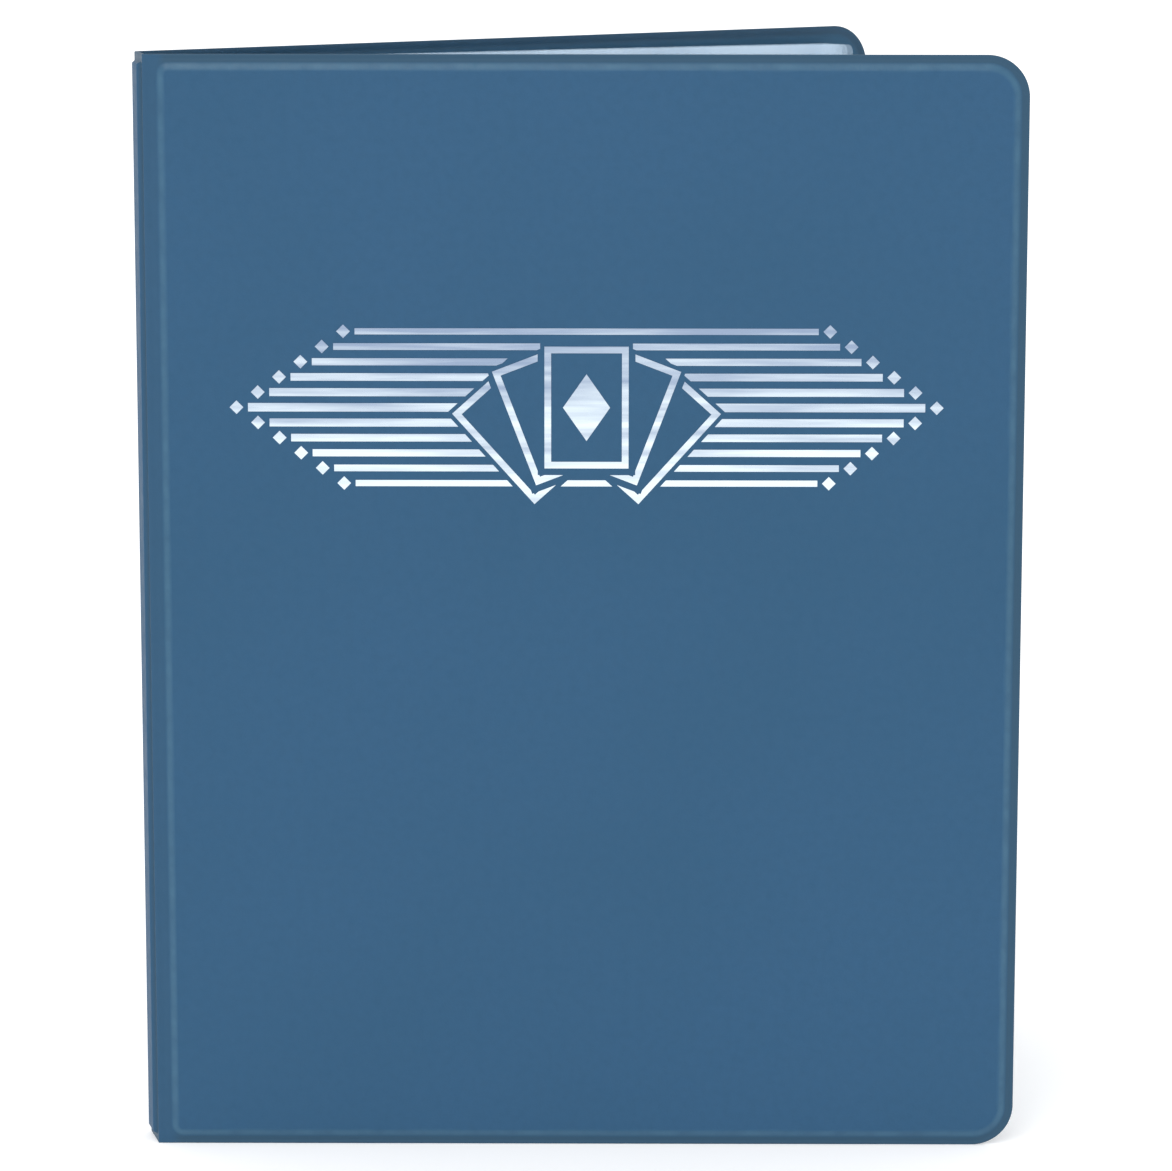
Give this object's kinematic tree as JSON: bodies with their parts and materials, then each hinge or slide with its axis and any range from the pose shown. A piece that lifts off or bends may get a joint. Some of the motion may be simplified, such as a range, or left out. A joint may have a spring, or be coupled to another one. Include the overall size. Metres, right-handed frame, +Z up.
{
  "type": "trading card binder",
  "caption": "Flexible card binder standing slightly open: two padded blue covers on a flat spine, clear pocket pages bent from a binding strip, and a plain foil emblem.",
  "frame": {"origin": "middle of the spine's bottom edge, midway between the two cover hinge lines", "axes": "+Z up along the spine; the front cover is parallel to XZ at rest and faces -Y; +X runs from the spine to the front cover's fore edge"},
  "size_m": [0.2434, 0.1363, 0.305],
  "materials": {
    "cover_sheet": "satin",
    "lining_sheet": "satin",
    "board": "matte",
    "clear_film": "gloss",
    "weld": "satin",
    "foil": "satin"
  },
  "bodies": {
    "spine": {"spine_skin": "cover_sheet", "spine_board": "board", "spine_liner": "lining_sheet", "page_binding": "weld"},
    "front_cover": {"front_cover_skin": "cover_sheet", "front_cover_board": "board", "front_cover_liner": "lining_sheet", "foil_emblem": "foil"},
    "back_cover": {"back_cover_skin": "cover_sheet", "back_cover_board": "board", "back_cover_liner": "lining_sheet"},
    "page_01": {"page_01_back_film": "clear_film", "page_01_pocket_film": "clear_film", "page_01_welds": "weld"},
    "page_02": {"page_02_back_film": "clear_film", "page_02_pocket_film": "clear_film", "page_02_welds": "weld"},
    "page_03": {"page_03_back_film": "clear_film", "page_03_pocket_film": "clear_film", "page_03_welds": "weld"},
    "page_04": {"page_04_back_film": "clear_film", "page_04_pocket_film": "clear_film", "page_04_welds": "weld"},
    "page_05": {"page_05_back_film": "clear_film", "page_05_pocket_film": "clear_film", "page_05_welds": "weld"},
    "page_06": {"page_06_back_film": "clear_film", "page_06_pocket_film": "clear_film", "page_06_welds": "weld"},
    "page_07": {"page_07_back_film": "clear_film", "page_07_pocket_film": "clear_film", "page_07_welds": "weld"},
    "page_08": {"page_08_back_film": "clear_film", "page_08_pocket_film": "clear_film", "page_08_welds": "weld"},
    "page_09": {"page_09_back_film": "clear_film", "page_09_pocket_film": "clear_film", "page_09_welds": "weld"},
    "page_10": {"page_10_back_film": "clear_film", "page_10_pocket_film": "clear_film", "page_10_welds": "weld"}
  },
  "joints": [
    {"name": "front_cover_hinge", "type": "hinge", "parent": "spine", "child": "front_cover", "pos_m": [0.00152, -0.00549, 0.1525], "axis": [0, 0, -1], "range_deg": [-15.5, 74.5]},
    {"name": "back_cover_hinge", "type": "hinge", "parent": "spine", "child": "back_cover", "pos_m": [-0.00152, 0.00549, 0.1525], "axis": [0, 0, 1], "range_deg": [-15.5, 74.5]},
    {"name": "page_01_bend", "type": "hinge", "parent": "spine", "child": "page_01", "pos_m": [0.00278, -0.00367, 0.1525], "axis": [0, 0, -1], "range_deg": [-15.27, 73.38]},
    {"name": "page_02_bend", "type": "hinge", "parent": "spine", "child": "page_02", "pos_m": [0.0033, -0.00254, 0.1525], "axis": [0, 0, -1], "range_deg": [-15.04, 72.27]},
    {"name": "page_03_bend", "type": "hinge", "parent": "spine", "child": "page_03", "pos_m": [0.00381, -0.00141, 0.1525], "axis": [0, 0, -1], "range_deg": [-14.8, 71.15]},
    {"name": "page_04_bend", "type": "hinge", "parent": "spine", "child": "page_04", "pos_m": [0.00433, -0.00028, 0.1525], "axis": [0, 0, -1], "range_deg": [-14.57, 70.03]},
    {"name": "page_05_bend", "type": "hinge", "parent": "spine", "child": "page_05", "pos_m": [0.00485, 0.00085, 0.1525], "axis": [0, 0, -1], "range_deg": [-14.34, 68.91]},
    {"name": "page_06_bend", "type": "hinge", "parent": "spine", "child": "page_06", "pos_m": [0.00459, 0.00177, 0.1525], "axis": [0, 0, 1], "range_deg": [-14.34, 68.91]},
    {"name": "page_07_bend", "type": "hinge", "parent": "spine", "child": "page_07", "pos_m": [0.00357, 0.00247, 0.1525], "axis": [0, 0, 1], "range_deg": [-14.57, 70.03]},
    {"name": "page_08_bend", "type": "hinge", "parent": "spine", "child": "page_08", "pos_m": [0.00255, 0.00317, 0.1525], "axis": [0, 0, 1], "range_deg": [-14.8, 71.15]},
    {"name": "page_09_bend", "type": "hinge", "parent": "spine", "child": "page_09", "pos_m": [0.00152, 0.00387, 0.1525], "axis": [0, 0, 1], "range_deg": [-15.04, 72.27]},
    {"name": "page_10_bend", "type": "hinge", "parent": "spine", "child": "page_10", "pos_m": [0.0005, 0.00457, 0.1525], "axis": [0, 0, 1], "range_deg": [-15.27, 73.38]}
  ],
  "couplings": [
    {"joint": "page_01_bend", "follows": "front_cover_hinge", "ratio": 0.985},
    {"joint": "page_02_bend", "follows": "front_cover_hinge", "ratio": 0.97},
    {"joint": "page_03_bend", "follows": "front_cover_hinge", "ratio": 0.955},
    {"joint": "page_04_bend", "follows": "front_cover_hinge", "ratio": 0.94},
    {"joint": "page_05_bend", "follows": "front_cover_hinge", "ratio": 0.925},
    {"joint": "page_06_bend", "follows": "back_cover_hinge", "ratio": 0.925},
    {"joint": "page_07_bend", "follows": "back_cover_hinge", "ratio": 0.94},
    {"joint": "page_08_bend", "follows": "back_cover_hinge", "ratio": 0.955},
    {"joint": "page_09_bend", "follows": "back_cover_hinge", "ratio": 0.97},
    {"joint": "page_10_bend", "follows": "back_cover_hinge", "ratio": 0.985}
  ]
}
